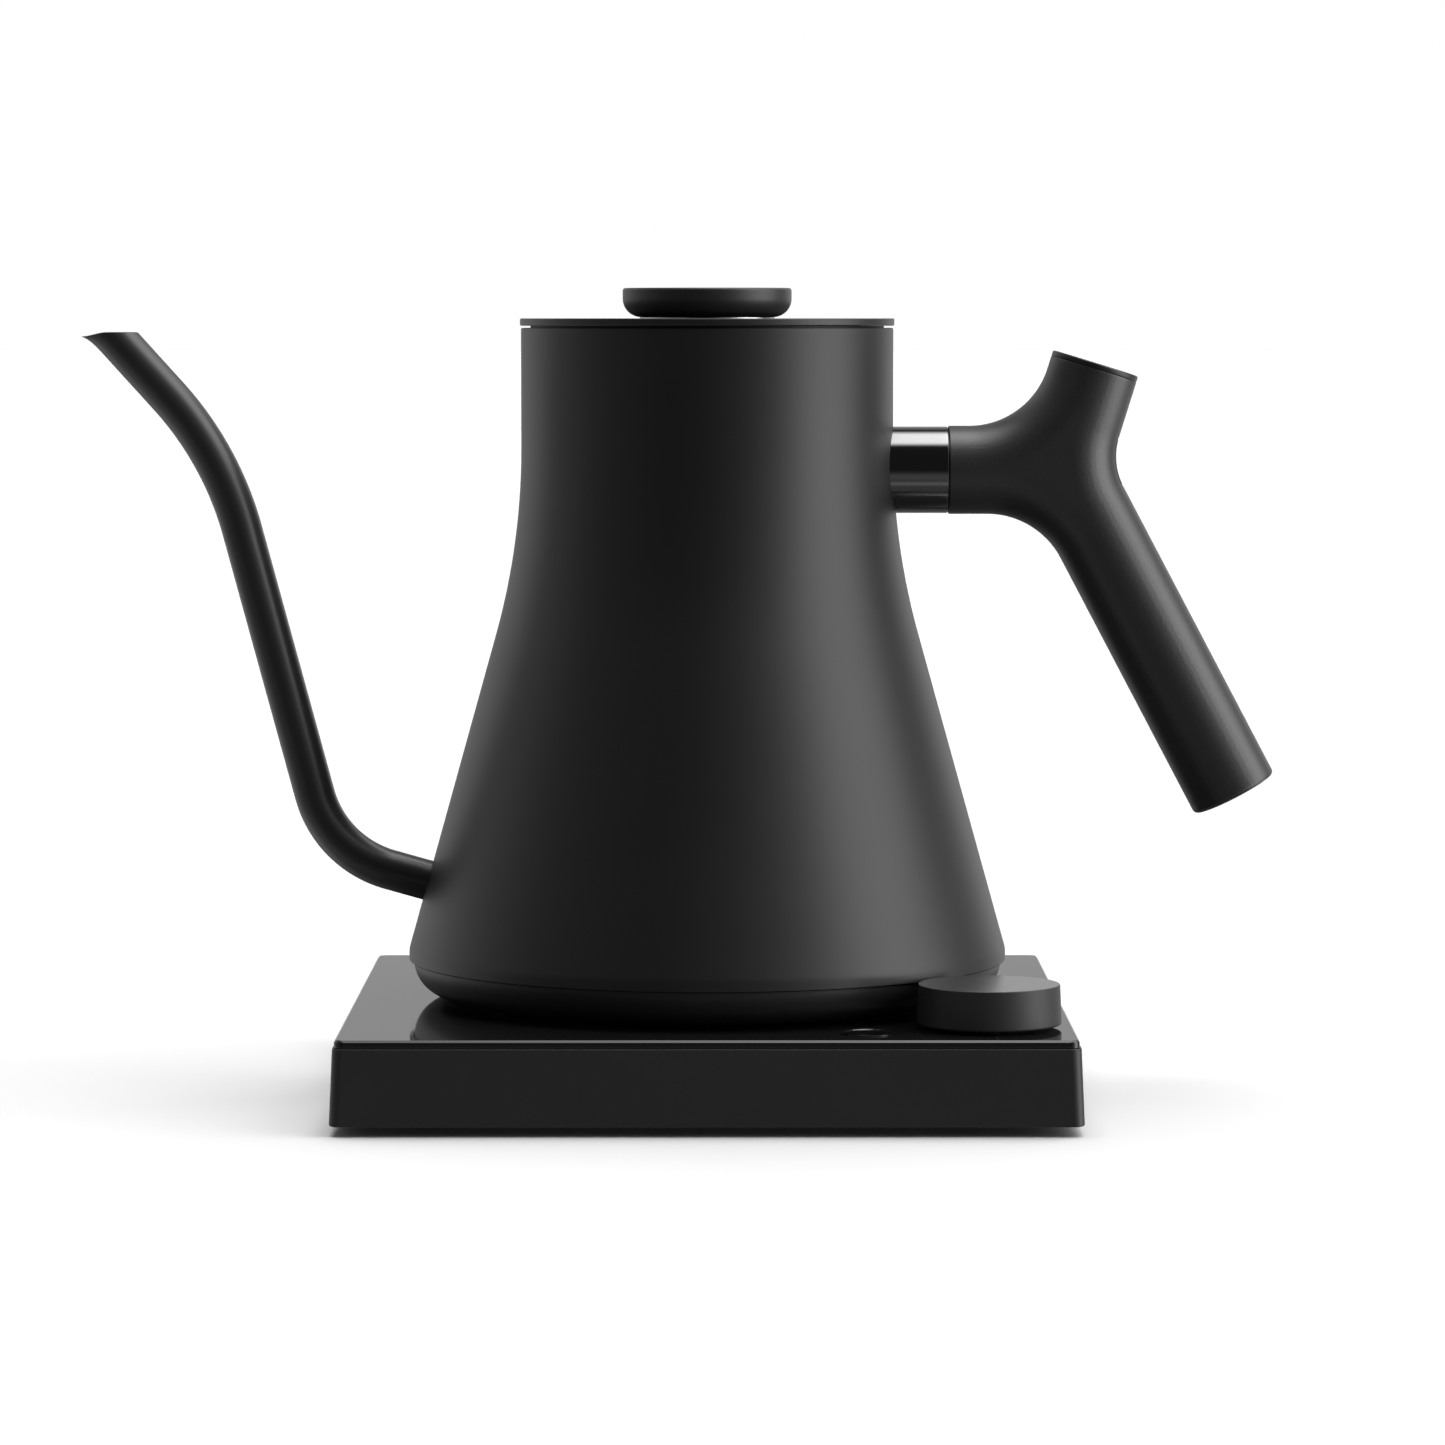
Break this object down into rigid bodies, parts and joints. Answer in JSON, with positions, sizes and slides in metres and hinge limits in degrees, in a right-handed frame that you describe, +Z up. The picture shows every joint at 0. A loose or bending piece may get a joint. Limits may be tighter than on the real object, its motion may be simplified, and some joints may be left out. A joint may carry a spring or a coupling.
{
  "type": "electric kettle",
  "caption": "Electric pouring kettle with a long curved spout and angled counterweighted handle, on a square powered base with a dial and a push button.",
  "frame": {"origin": "where the kettle's axis meets the table, on the middle one of the base's five feet", "axes": "+Z up; -X towards the spout; +X towards the handle; -Y towards the user's side with the dial and the button"},
  "size_m": [0.2921, 0.1758, 0.1963],
  "materials": {
    "housing_plastic": "satin moulded",
    "top_glass": "back-painted black gloss",
    "cover_plastic": "fine texture",
    "foot_rubber": "matte",
    "bare_steel": "satin",
    "connector_plastic": "satin",
    "contact_brass": "satin",
    "circuit_board": "lacquered",
    "display_plastic": "smoked",
    "relay_plastic": "moulded",
    "capacitor_film": "sleeved",
    "ring_plastic": "satin",
    "body_coat": "fine matte powder coat",
    "spout_coat": "satin powder coat",
    "spreader_aluminium": "as cast",
    "silicone": "translucent",
    "ceramic_white": "glazed",
    "collar_gloss": "polished black",
    "grip_plastic": "fine grain",
    "cap_plastic": "fine grain",
    "pad_rubber": "soft touch",
    "weight_iron": "turned",
    "lid_coat": "fine matte powder coat",
    "knob_plastic": "fine grain",
    "dial_coat": "satin, turned face",
    "button_gloss": "polished dish"
  },
  "bodies": {
    "base": {"base_housing": "housing_plastic", "base_glass": "top_glass", "base_bottom_cover": "cover_plastic", "rubber_feet": "foot_rubber", "base_screws": "bare_steel", "socket_housing": "connector_plastic", "socket_contacts": "contact_brass", "control_board": "circuit_board", "display_panel": "display_plastic", "rotary_encoder": "bare_steel", "button_switch": "connector_plastic", "buzzer": "connector_plastic", "power_board": "circuit_board", "power_relay": "relay_plastic", "supply_capacitor": "capacitor_film", "cord_gland": "cover_plastic"},
    "swivel": {"swivel_ring": "ring_plastic"},
    "kettle": {"kettle_body": "body_coat", "spout": "spout_coat", "floor_plate": "bare_steel", "heat_spreader": "spreader_aluminium", "heating_element": "bare_steel", "temperature_probe": "bare_steel", "probe_seal": "silicone", "thermal_cutout": "ceramic_white", "kettle_connector": "connector_plastic", "connector_pins": "contact_brass", "kettle_bottom_cover": "cover_plastic", "bottom_cover_screws": "bare_steel", "handle_collar": "collar_gloss", "handle_bracket": "bare_steel", "handle_shell": "grip_plastic", "handle_cap": "cap_plastic", "thumb_pad": "pad_rubber", "handle_screw": "bare_steel", "handle_counterweight": "weight_iron"},
    "lid": {"lid_plate": "lid_coat", "lid_cup": "cover_plastic", "lid_gasket": "silicone", "lid_washer": "bare_steel", "lid_knob": "knob_plastic", "lid_screw": "bare_steel"},
    "dial": {"dial_knob": "dial_coat", "dial_shaft": "bare_steel"},
    "button": {"power_button": "button_gloss"}
  },
  "joints": [
    {"name": "kettle_turn", "type": "hinge", "parent": "base", "child": "swivel", "pos_m": [0, 0, 0.0245], "axis": [0, 0, 1], "continuous": true},
    {"name": "kettle_lift", "type": "slide", "parent": "swivel", "child": "kettle", "axis": [0, 0, 1], "range_m": [0, 0.06]},
    {"name": "lid_lift", "type": "slide", "parent": "kettle", "child": "lid", "axis": [0, 0, 1], "range_m": [0, 0.05]},
    {"name": "dial_turn", "type": "hinge", "parent": "base", "child": "dial", "pos_m": [0.0664, -0.0622, 0.0244], "axis": [0, 0, 1], "continuous": true},
    {"name": "button_press", "type": "slide", "parent": "base", "child": "button", "axis": [0, 0, -1], "range_m": [0, 0.0005], "stiffness_N_per_m": 800, "springref_m": -0.0012}
  ]
}
